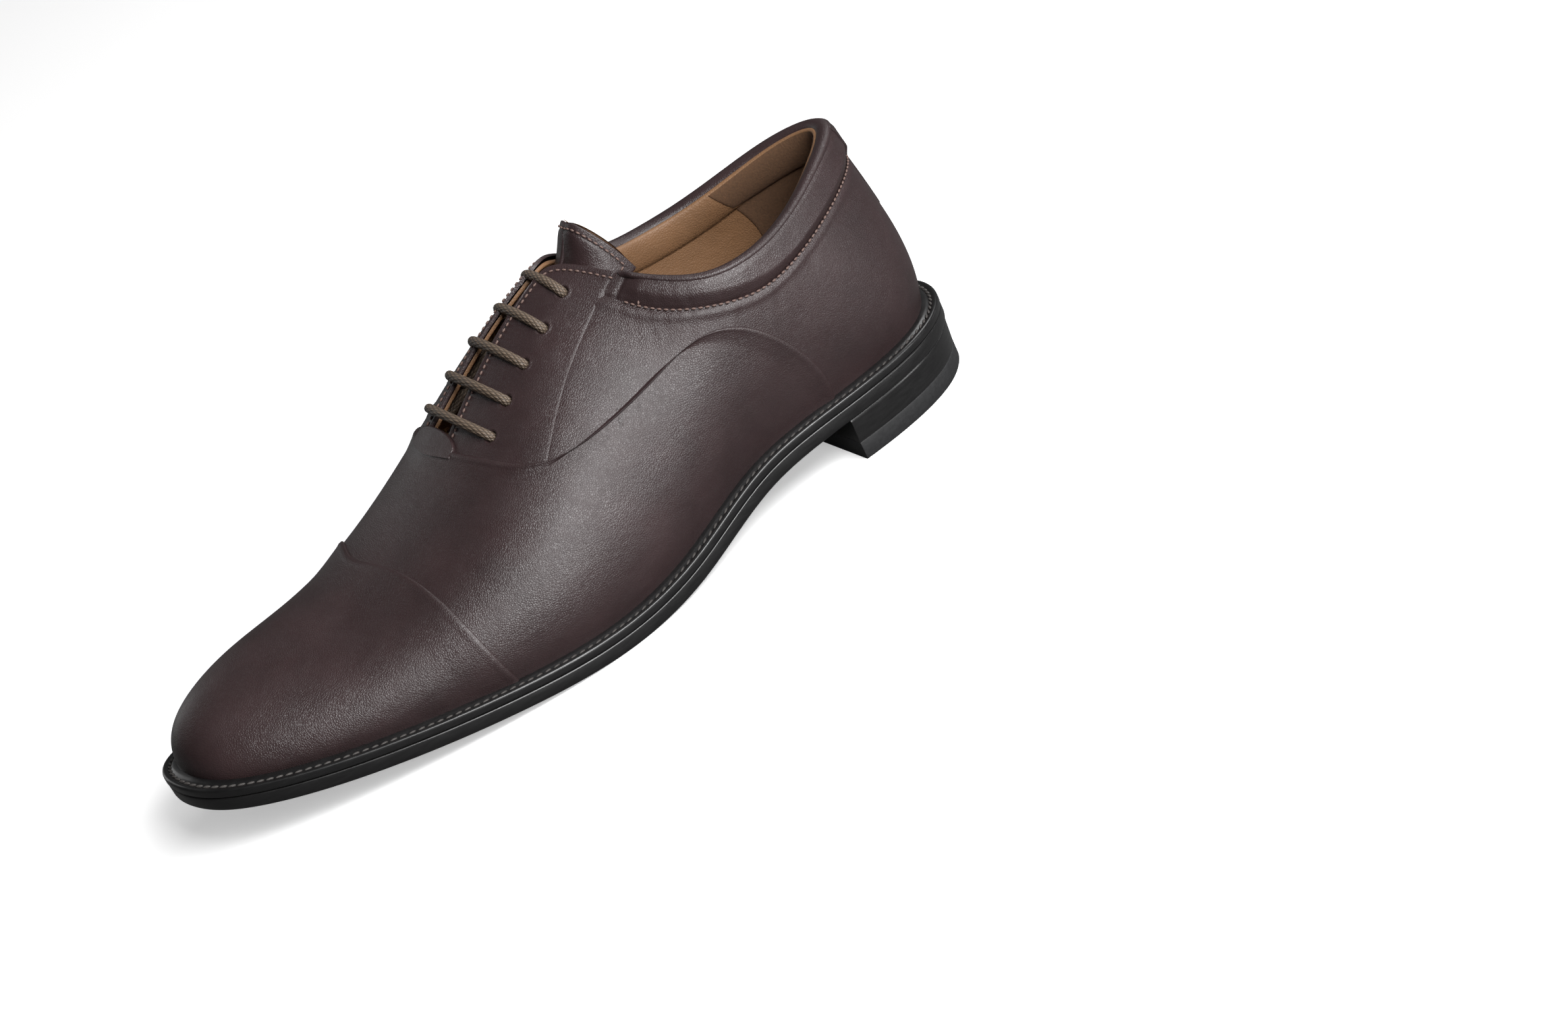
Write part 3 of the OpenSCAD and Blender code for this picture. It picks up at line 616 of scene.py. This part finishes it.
# a section of (across, up) points carried along a path that has its own (across, up) directions
def sweep(name, path, frames, section, material, stands):
    ring = np.array(section, float)
    ring = np.vstack([ring, ring[:1]])
    across, up = frames
    p = path[:, None] + ring[None, :, :1] * across[:, None] + ring[None, :, 1:2] * up[:, None]
    bm = bmesh.new()
    gridInto(bm, p)
    bmesh.ops.remove_doubles(bm, verts=bm.verts, dist=0.000005)
    bmesh.ops.holes_fill(bm, edges=bm.edges, sides=64)
    bmesh.ops.recalc_face_normals(bm, faces=bm.faces)
    return keep(name, bm, material, stands)


def circle(radiusA, radiusB, n):
    a = np.linspace(0, 2 * math.pi, n, endpoint=False)
    return np.stack([radiusA * np.cos(a), radiusB * np.sin(a)], -1)


def toplinePath(steps=240):
    q = np.linspace(0, 1, steps + 1)
    p = along(seams["topline"], 1 - abs(2 * q - 1))
    side = np.where(q < 0.5, 1.0, -1.0)
    u, w = p[:, 0], side * p[:, 1]
    at, out = face(u, w), outward(u, w)
    lower = face(u, side * (p[:, 1] + 0.02))
    up = unit(at - lower)
    return at, out, up


bindingLook = {"half": 2.1, "high": 1.7, "inset": 1.7, "drop": 0.3, "padShare": 0.7}
path, out, up = toplinePath()
fromEnds = 0.5 - abs(np.linspace(0, 1, len(path)) - 0.5)
rollOut = (collarPad["swell"] * bindingLook["padShare"] * ease(fromEnds / 0.03))[:, None]
ring = circle(1, bindingLook["high"], 22)
rows = np.stack([
    path + (rollOut * (0.5 + 0.5 * x) + bindingLook["half"] * x - bindingLook["inset"]) * out
    + (y - bindingLook["drop"]) * up
    for x, y in np.vstack([ring, ring[:1]])
], axis=1)
bm = bmesh.new()
gridInto(bm, rows)
closedOut(bm)
keep("collarBinding", bm, leather, ("collar_binding",))

stripLook = {"lift": 0.55, "padFoot": 18, "top": 0.012, "long": 0.5, "reach": 0.0135, "topReach": 0.022}


def stripAt(s, t):
    w = stripLook["top"] + stripLook["long"] * t
    reach = stripLook["reach"] + stripLook["topReach"] * (1 - t) ** 2  # wider at the top
    a = 2 * s - 1
    return 1 - abs(a) * reach, np.where(a < 0, 1, -1) * w


def stripHeight(f):
    high = (abs(f["w"]) - stripLook["top"]) * 92  # millimetres below the topline
    overPad = high < stripLook["padFoot"] + collarPad["lead"]
    return stripLook["lift"] + padHeight(stripLook["padFoot"] - high, high) * overPad


panelPiece("backStrip", stripAt, 40, 90, edgeLeather, ("back_strip",),
           height=stripHeight, rolls=("s0", "s1", "t0", "t1"))


tabLook = {"half": 0.17, "foot": 0.404, "rounding": 0.0165, "lift": 1.05}


def tabAt(s, t):
    w = tabLook["half"] * (2 * t - 1)
    low = tabLook["foot"] + 0.016 * (abs(w) / 0.22) ** 1.7
    bulge = np.sqrt(np.maximum(0, 1 - (w / (tabLook["half"] + 0.0005)) ** 2))
    high = low + 0.002 + tabLook["rounding"] * bulge
    return low * (1 - s) + high * s, w


panelPiece("lacingTab", tabAt, 30, 60, leather, ("lacing_tab",),
           height=lambda f: tabLook["lift"] + 0 * f["u"], rolls=("s1", "t0", "t1"))


toplineSpots = along(seams["topline"], np.linspace(0, 1, 300))


def gripAt(s, t):
    a = 2 * s - 1
    u = 1 - abs(a) * (0.165 - 0.03 * np.sin(math.pi * t))
    low = np.interp(u, toplineSpots[:, 0], toplineSpots[:, 1])
    return u, np.where(a < 0, 1, -1) * (low + (0.87 - low) * t)


def gripHeight(f):
    return -liningLook["depth"] - liningLook["gripGap"] - liningLook["rollRise"] * liningRoll(f["t0"])


panelPiece("heelGrip", gripAt, 110, 160, suedeLeather, ("heel_grip",), height=gripHeight,
           rolls=("s0", "s1"), inward=True)

tongueLook = {
    "root": 0.434, "bend": 0.55, "share": 0.55, "shift": 2.4, "leave": 32, "arrive": 14, "backGap": 2.2,
    "edge": [[-16.2, 0, 8.9], [-16.2, 2.8, 9.6], [-17.4, 6.6, 8.4], [-20.8, 10.2, 2.2], [-24.1, 12, -4.8],
             [-26.6, 12.6, -12.3]],
}
laceLook = {
    "diameter": 2.8, "drawn": 3.4, "color": (0.145, 0.105, 0.075), "pitch": 2.6,
    "bow": [5.5, 5, 4.6, 4, 3], "stackThick": 4.25, "tongueGap": 0.9,
}


def deep(u, w, depth):
    return face(u, w) - depth * outward(u, w)


def tonguePoints(s, t, depth):  # flat under the facings up to the bend, then free up to its drawn edge
    share, bend = tongueLook["share"], tongueLook["bend"]
    k = np.maximum(0, (s - share) / (1 - share))[..., None]
    part = np.minimum(s / share, 1)
    w = t * (0.2 + 0.06 * part)
    u = tongueLook["root"] + (bend - tongueLook["root"]) * part
    bendU = bend + 0 * u
    course = unit(deep(bendU, w, depth) - deep(bendU - 0.02, w, depth))
    side = np.where(t < 0, -1.0, 1.0)
    a = t * t
    look = unit(np.stack([0.85 * (1 - a), side * a, 0.45 * (1 - a) + 0.1], -1))
    top = along(tongueLook["edge"], abs(t))
    top[..., 1] = side * top[..., 1] + tongueLook["shift"]
    top = top + spotAt((bend, 0)) - (depth - tongueDepth) * look
    turn = unit(np.stack([-0.75 - 0.15 * a, 0 * a, 0.66 - 0.3 * a], -1))
    g = 1 - k
    return (g * g * (1 + 2 * k) * deep(u, w, depth) + k * g * g * tongueLook["leave"] * course
            + k * k * (3 - 2 * k) * top - k * k * g * tongueLook["arrive"] * turn)


def tongueSheet(name, p, outwards, material, stands, steps=softRoll):
    n = gridNormals(p)
    if (n * outwards).sum() < 0:
        n = -n
    for axis, atEnd in ((0, True), (1, False), (1, True)):
        p, n = rolledEdge(p, n, axis, atEnd, steps)
    bm = bmesh.new()
    gridInto(bm, p)
    turnedTo(bm, p, n)
    return keep(name, bm, material, stands, "tongue")


laceDepth = laceLook["stackThick"] + laceLook["diameter"] / 2
tongueDepth = laceDepth + laceLook["diameter"] / 2 + laceLook["tongueGap"]
s, t = np.meshgrid(np.linspace(0, 1, 121), np.linspace(-1, 1, 121), indexing="ij")
tongueTop = tonguePoints(s, t, tongueDepth)
tongueUp = np.broadcast_to(np.array([0.5, 0, 1.0]), tongueTop.shape)
sideDistance = np.minimum(borderDistance(tongueTop, 1, False), borderDistance(tongueTop, 1, True))
endDistance = np.minimum(borderDistance(tongueTop, 0, True), sideDistance)
tongueLift = 0.35 * ease(endDistance / 6) + channel(endDistance, 2.4, 0.25)
tongueNormals = gridNormals(tongueTop)
if (tongueNormals * tongueUp).sum() < 0:
    tongueNormals = -tongueNormals
tongueSheet("tonguePiece", tongueTop + (tongueLift - 0.2)[..., None] * tongueNormals, tongueUp, leather,
            ("tongue",))
backPoints = tonguePoints(s * 0.995, t * 0.985, tongueDepth + tongueLook["backGap"])
tongueSheet("tongueBack", backPoints, -tongueUp, liningLeather, ("tongue_lining",),
            ((0.2, 0.2), (0.35, 0.6), (0.3, 1.1)))
print("tongue made")


# the lace: five bars over the gap, runs under the facings and two tucked ends
eyelets = np.array(seams["eyelets"])
laceHigh = laceLook["drawn"] / 2 + 0.2


def lacePass(k, side):
    e = eyelets[k] * [1, side]
    c, n = spotAt(e), outAt(e)
    return [c - (laceDepth - 0.3) * n, c - 0.4 * laceDepth * n, c + 0.2 * laceHigh * n]


def outAt(e):
    return outward(np.array([e[0]]), np.array([e[1]]))[0]


def laceBar(k, side):
    a, b = lacePass(k, side), lacePass(k, -side)
    up = outAt((eyelets[k][0], 0))
    bow = laceLook["bow"][k] * 4
    over = [a[2] + (b[2] - a[2]) * q + up * (laceHigh * 0.75 + bow * q * (1 - q))
            for q in (0.14, 0.35, 0.65, 0.86)]
    return a + over + b[::-1]


def laceRun(i, k, side, off):
    return [spotAt((eyelets[i] + (eyelets[k] - eyelets[i]) * q + [0, off]) * [1, side], laceDepth + 0.25)
            for q in (0.2, 0.5, 0.8)]


def laceTail(k, side, off):
    steps = ([-0.012 * q, off * min(q, 2) / 2 + 0.012 * q] for q in (1, 2, 3, 4))
    return [spotAt((eyelets[k] + step) * [1, side], laceDepth + 0.4) for step in steps]


route = np.array(
    laceTail(3, 1, -0.035)[::-1] + laceBar(3, 1) + laceRun(3, 1, -1, -0.036) + laceBar(1, -1)
    + laceRun(1, 0, 1, 0) + laceBar(0, 1) + laceRun(0, 2, -1, 0.036) + laceBar(2, -1)
    + laceRun(2, 4, 1, 0.036) + laceBar(4, 1) + laceTail(4, -1, 0.05)
)
laceSteps = 1400
lacePath = along(route, np.linspace(0, 1, laceSteps + 1))
laceLength = np.linalg.norm(np.diff(lacePath, axis=0), axis=1).sum()
tangent = unit(np.gradient(lacePath, axis=0))
spokes = [unit(np.cross(tangent[0], [0.3, 0.2, 1]))]
for k in range(1, laceSteps + 1):
    s0 = spokes[-1]
    spokes.append(unit(s0 - tangent[k] * (s0 @ tangent[k])))
spokes = np.array(spokes)
cordRound = circle(laceLook["drawn"] / 2, laceLook["drawn"] / 2 * 0.94, 14)
laceMaterial = cordMaterial("laceCord", laceLook["color"], laceLength / laceLook["pitch"], 8)
sweep("lacePiece", lacePath, (spokes, np.cross(tangent, spokes)), cordRound, laceMaterial,
      ("lace",))
print("lace made, millimetres long:", round(float(laceLength)))


# sole and heel
weltSteps = 320
weltProfile = [  # margin outside the feather edge, rise
    (-4, -0.25), (-0.9, 0.1), (0.2, 0.05), (1.2, -0.12), (2.0, -0.3), (2.5, -0.75), (2.9, -0.9),
    (3.3, -0.75), (3.8, -0.3), (4.4, -0.12), (5.0, -0.18), (5.35, -0.38), (5.55, -0.75), (5.6, -1.2),
    (5.6, -2.6), (5.5, -2.95), (5.2, -3.15), (4.6, -3.2), (-4, -3.2),
]


def allRound(steps):  # u and side for a walk from the back round the toe
    q = np.linspace(0, 1, steps)
    return 1 - abs(2 * q - 1), np.where(q < 0.5, 1.0, -1.0)


def loopAcross(a, b, across):  # down the outer side, over the bottom and up the inner side
    f = np.linspace(0, 1, across + 2)[1:-1]
    bottom = np.stack([a[:, -1] + (b[:, -1] - a[:, -1]) * k for k in f], axis=1)
    top = np.stack([b[:, 0] + (a[:, 0] - b[:, 0]) * k for k in f], axis=1)
    return np.concatenate([a, bottom, b[:, ::-1], top, a[:, :1]], axis=1)


u, side = allRound(2 * weltSteps + 1)
bm = bmesh.new()
gridInto(bm, np.stack([
    swung(rim(u, side, margin + 0 * u, rise)) - middle for margin, rise in weltProfile + weltProfile[:1]
], axis=1))
closedOut(bm)
keep("weltPiece", bm, soleMaterial, ("welt",))

soleTop = -soleLook["weltThick"] - 0.35
soleLow = -soleThick
outsoleProfile = [
    (4.4, soleTop), (5.0, soleTop - 0.05), (5.3, soleTop - 0.25), (5.42, soleTop - 0.6),
    (5.3, soleLow + 1.2), (5.15, soleLow + 0.55), (4.85, soleLow + 0.18), (4.3, soleLow),
    (1.2, soleLow), (0.8, soleLow + 0.35), (0.4, soleLow + 0.35), (0.0, soleLow), (-2, soleLow),
]
u = np.linspace(0, 1, 301)
outer, inner = (
    np.stack([swung(rim(u, side + 0 * u, margin + 0 * u, rise)) for margin, rise in outsoleProfile], axis=1)
    - middle for side in (1.0, -1.0)
)
bm = bmesh.new()
gridInto(bm, loopAcross(outer, inner, 40))
closedOut(bm)
keep("outsolePiece", bm, soleMaterial, ("outsole",))

breastU = 0.79
heelU = np.linspace(breastU, 1, 90)


# rows of the heel at given margins, from the sole's underside (share 0) down to a level (share 1)
def heelPoints(margins, heights):
    rows = []
    for side in (1.0, -1.0):
        part = []
        for m, (share, level) in zip(margins, heights):
            p = swung(rim(heelU, side + 0 * heelU, m + 0 * heelU, 0)) - middle
            z = (p[:, 2] - soleThick - 0.05) * (1 - share) + level * share
            part.append(np.stack([p[:, 0], p[:, 1], z], -1))
        rows.append(np.stack(part, axis=1))
    return rows


def heelPiece(name, margins, heights, material, stands):
    bm = bmesh.new()
    gridInto(bm, loopAcross(*heelPoints(margins, heights), 10))
    bmesh.ops.remove_doubles(bm, verts=bm.verts, dist=0.00001)
    bmesh.ops.holes_fill(bm, edges=bm.edges, sides=200)
    bmesh.ops.recalc_face_normals(bm, faces=bm.faces)
    rimEdges = [e for e in bm.edges if len(e.link_faces) == 2 and e.calc_face_angle(0) > 0.9]
    bmesh.ops.bevel(bm, geom=rimEdges, offset=0.0003, offset_type="OFFSET", affect="EDGES", segments=2,
                    profile=0.5, material=-1, clamp_overlap=True)
    piece = keep(name, bm, material, stands)
    piece.data.set_sharp_from_angle(angle=0.6)
    return piece


topPiece = soleLook["topPieceThick"]
stackMargins = [4.35, 4.6, 4.6, 3.9, 3.85, 3.65]
stackHeights = [(0, 0), (0.06, topPiece), (0.12, topPiece), (0.93, topPiece), (0.97, topPiece),
                (1, topPiece + 0.05)]
heelPiece("heelStack", stackMargins, stackHeights, soleMaterial, ("heel_stack",))
liftMargins = [3.4, 3.75, 3.8, 3.6, 3.2]
liftHeights = [(1, topPiece), (1, topPiece - 0.3), (1, topPiece - 0.6), (1, 0.6), (1, 0)]
heelPiece("topPiecePiece", liftMargins, liftHeights, rubber, ("top_piece",))
print("sole made")


weltStitch = {"pitch": 3.1, "length": 2.7, "radius": 0.5, "margin": 2.9, "depth": 0.62, "slant": 0.35}


# small thread bumps at an even pitch along a line of points
def stitchRow(name, points, normals, look, material, body="shoe", slant=0.0):
    steps = np.concatenate([[0], np.cumsum(np.linalg.norm(np.diff(points, axis=0), axis=1))])
    count = int(steps[-1] / look["pitch"])
    bm = bmesh.new()
    for k in range(count):
        at = (k + 0.5) * steps[-1] / count
        p, q, r = (
            np.array([np.interp(x, steps, points[:, i]) for i in range(3)])
            for x in (at, min(at + 0.3, steps[-1]), max(at - 0.3, 0))
        )
        n = unit(np.array([np.interp(at, steps, normals[:, i]) for i in range(3)]))
        x = unit(q - r)
        y = unit(np.cross(n, x))
        x = unit(x * math.cos(slant) + y * math.sin(slant))
        y = np.cross(n, x)
        turn = Matrix([[x[i], y[i], n[i]] for i in range(3)]).to_4x4()
        size = Matrix.Diagonal((look["length"] / 2 * mm, look["radius"] * mm, look["radius"] * mm, 1))
        spot = Matrix.Translation(Vector(p * mm))
        bmesh.ops.create_icosphere(bm, subdivisions=2, radius=1.0, matrix=spot @ turn @ size)
    return keep(name, bm, material, (), body)


def seamRow(name, controls, side, shift, lift, start=0.0):
    q = along(controls, np.linspace(start, 1, 400))
    u, w = q[:, 0], side * q[:, 1]
    base, n = face(u, w), outward(u, w)
    x = unit(np.gradient(base, axis=0))
    p = base - np.cross(n, x) * shift * side + n * lift
    return stitchRow(name, p, n, stitchLook, threadMaterial)


collarEnd = [[0.6185, 0.292], [0.625, 0.255], [0.631, 0.222]]
for label, side in (("Lateral", 1), ("Medial", -1)):
    seamRow("collarStitch" + label, seams["collarSeam"], side, 0, 0.3, start=0.065)
    seamRow("collarEndStitch" + label, collarEnd, side, 0, 0.3)
    seamRow("gapStitch" + label, seams["gapEdge"], side, facingLook["stitchAt"], 0.2)
    seamRow("headStitch" + label, seams["facingHead"], side, facingLook["stitchAt"], 0.2)

u, side = allRound(900)
weltLine = swung(rim(u, side, weltStitch["margin"] + 0 * u, -weltStitch["depth"])) - middle
weltUp = np.broadcast_to(np.array([0, 0, 1.0]), weltLine.shape)
stitchRow("weltStitch", weltLine, weltUp, weltStitch, weltThread, slant=weltStitch["slant"])


def roundTongue(grid):  # up one side of the tongue, along its top and down the other side
    first, near, far, top = 40, 6, 114, 115
    return np.vstack([grid[first:top, near], grid[far, near:top], grid[first:top, far][::-1]])


tongueLineUp = roundTongue(tongueNormals)
tongueLine = roundTongue(tongueTop) + 0.05 * tongueLineUp
stitchRow("tongueStitch", tongueLine, tongueLineUp, stitchLook, threadMaterial, "tongue")
print("stitches made")

# CAD pieces that stay, inside the shoe
slots = {row["node"]: row["material_slot"] for row in frame["record"]["subparts"]}
for name, node in frame["nodes"].items():
    node.data.materials.clear()
    node.data.materials.append(slotMaterials[slots[name]])

cameraLook = {
    "right": (-0.780754, 0.469919, -0.411824),
    "up": (-0.549032, -0.201282, 0.811202),
    "back": (0.298307, 0.859454, 0.415153),
    "spot": (0.349567, 1.207814, 0.565863),
    "lens": 96.826,
}
camera = bpy.data.objects.new("camera", bpy.data.cameras.new("camera"))
bpy.context.scene.collection.objects.link(camera)
bpy.context.scene.camera = camera
right, up, back = (Vector(cameraLook[k]) for k in ("right", "up", "back"))
turn = Matrix((right, up, back)).transposed().to_4x4()
camera.matrix_world = Matrix.Translation(Vector(cameraLook["spot"])) @ turn
camera.data.lens = cameraLook["lens"]
camera.data.sensor_width = 36
camera.data.clip_start = 0.01

# the floor is bright to the camera and dark to everything else
floorLook = {"dark": (0.12, 0.12, 0.12), "bright": (0.95, 0.95, 0.95), "glow": 0.4, "size": 6}
floorMaterial, tree, bsdf = shader("floor")
seen = add(tree, "ShaderNodeLightPath").outputs["Is Camera Ray"]
tree.links.new(blendColors(tree, seen, floorLook["dark"], floorLook["bright"]), bsdf.inputs["Base Color"])
bsdf.inputs["Roughness"].default_value = 0.7
bsdf.inputs["Specular IOR Level"].default_value = 0.15
bsdf.inputs["Emission Color"].default_value = (1, 1, 1, 1)
tree.links.new(spread(tree, seen, 0, 1, 0, floorLook["glow"]), bsdf.inputs["Emission Strength"])
bm = bmesh.new()
bmesh.ops.create_grid(bm, x_segments=2, y_segments=2, size=floorLook["size"])
mesh = bpy.data.meshes.new("floor")
bm.to_mesh(mesh)
bm.free()
floor = bpy.data.objects.new("floor", mesh)
bpy.context.scene.collection.objects.link(floor)
mesh.materials.append(floorMaterial)

# each light: right, up and back of the shoe as the camera sees it, width, height, watts
lights = {
    "keyLight": (0.42, 0.8, 1.35, 1.2, 0.6, 38),
    "sideLight": (0.62, 0.1, 1.4, 0.4, 0.6, 9),
    "topLight": (0.3, 1.5, -0.2, 1.0, 0.5, 7),
    "leftBack": (-1.2, 0.45, -0.9, 0.5, 1.2, 2),
    "rightLight": (1.4, 0.25, 0.35, 0.5, 1.2, 12),
    "rightBack": (1.3, 0.35, -0.8, 0.5, 1.2, 12),
}
middleSpot = Vector((0, 0, 0.05))
for name, (x, y, z, width, height, watts) in lights.items():
    light = bpy.data.lights.new(name, "AREA")
    light.shape = "RECTANGLE"
    light.size, light.size_y = width, height
    light.energy = watts
    lamp = bpy.data.objects.new(name, light)
    bpy.context.scene.collection.objects.link(lamp)
    lamp.location = middleSpot + right * x + up * y + back * z
    lamp.rotation_euler = (middleSpot - lamp.location).to_track_quat("-Z", "Y").to_euler()

worldLook = {"glow": 0.06, "seen": 1.0}
world = bpy.data.worlds.new("world")
bpy.context.scene.world = world
world.use_nodes = True
tree = world.node_tree
background = tree.nodes["Background"]
background.inputs[0].default_value = (1, 1, 1, 1)
seen = add(tree, "ShaderNodeLightPath").outputs["Is Camera Ray"]
tree.links.new(spread(tree, seen, 0, 1, worldLook["glow"], worldLook["seen"]), background.inputs[1])
bpy.context.scene.view_settings.view_transform = "Standard"
